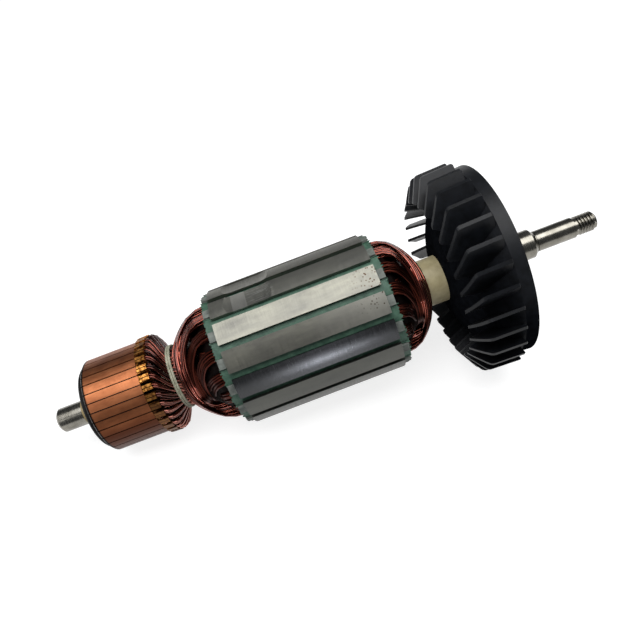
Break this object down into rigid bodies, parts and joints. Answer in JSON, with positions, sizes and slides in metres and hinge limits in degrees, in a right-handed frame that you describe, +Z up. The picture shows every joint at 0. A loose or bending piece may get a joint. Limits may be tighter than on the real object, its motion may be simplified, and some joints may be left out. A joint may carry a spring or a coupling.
{
  "type": "motor armature",
  "caption": "Wound armature of a hand-held grinder's motor: slotted steel core with enamelled coils, copper commutator, cooling fan and a stepped shaft with a threaded end.",
  "frame": {"origin": "centre of the bounding box, at the level of the surface that the armature lies on", "axes": "+X towards the fan and the threaded end, the shaft rising that way by the tilt at which the armature lies; +Z up"},
  "size_m": [0.2282, 0.0838, 0.0838],
  "materials": {
    "shaft_steel": "ground, oiled",
    "bush_resin": "satin",
    "black_resin": "moulded, matt",
    "bar_copper": "turned copper",
    "enamelled_wire": "glossy enamel",
    "lead_wire": "glossy enamel",
    "tie_cord": "varnished cord",
    "cream_plastic": "satin",
    "core_steel": "ground laminations",
    "grey_fibre": "matt",
    "green_liner": "matt",
    "green_wedge": "matt",
    "fan_plastic": "moulded, satin"
  },
  "bodies": {
    "root": {"coil_01": "enamelled_wire", "coil_02": "enamelled_wire", "coil_03": "enamelled_wire", "coil_04": "enamelled_wire", "coil_05": "enamelled_wire", "coil_06": "enamelled_wire", "coil_07": "enamelled_wire", "coil_08": "enamelled_wire", "coil_09": "enamelled_wire", "coil_10": "enamelled_wire", "coil_11": "enamelled_wire", "coil_12": "enamelled_wire", "coil_13": "enamelled_wire", "coil_14": "enamelled_wire", "coil_15": "enamelled_wire", "coil_16": "enamelled_wire", "commutator_bar_01": "bar_copper", "commutator_bar_02": "bar_copper", "commutator_bar_03": "bar_copper", "commutator_bar_04": "bar_copper", "commutator_bar_05": "bar_copper", "commutator_bar_06": "bar_copper", "commutator_bar_07": "bar_copper", "commutator_bar_08": "bar_copper", "commutator_bar_09": "bar_copper", "commutator_bar_10": "bar_copper", "commutator_bar_11": "bar_copper", "commutator_bar_12": "bar_copper", "commutator_bar_13": "bar_copper", "commutator_bar_14": "bar_copper", "commutator_bar_15": "bar_copper", "commutator_bar_16": "bar_copper", "commutator_bar_17": "bar_copper", "commutator_bar_18": "bar_copper", "commutator_bar_19": "bar_copper", "commutator_bar_20": "bar_copper", "commutator_bar_21": "bar_copper", "commutator_bar_22": "bar_copper", "commutator_bar_23": "bar_copper", "commutator_bar_24": "bar_copper", "commutator_bar_25": "bar_copper", "commutator_bar_26": "bar_copper", "commutator_bar_27": "bar_copper", "commutator_bar_28": "bar_copper", "commutator_bar_29": "bar_copper", "commutator_bar_30": "bar_copper", "commutator_bar_31": "bar_copper", "commutator_bar_32": "bar_copper", "commutator_bush": "bush_resin", "commutator_leads": "lead_wire", "commutator_moulding": "black_resin", "cooling_fan": "fan_plastic", "core": "core_steel", "end_disc_commutator_side": "grey_fibre", "end_disc_fan_side": "grey_fibre", "insulating_tube": "cream_plastic", "shaft": "shaft_steel", "slot_liners": "green_liner", "slot_wedges": "green_wedge", "tie_cord": "tie_cord"}
  },
  "joints": []
}
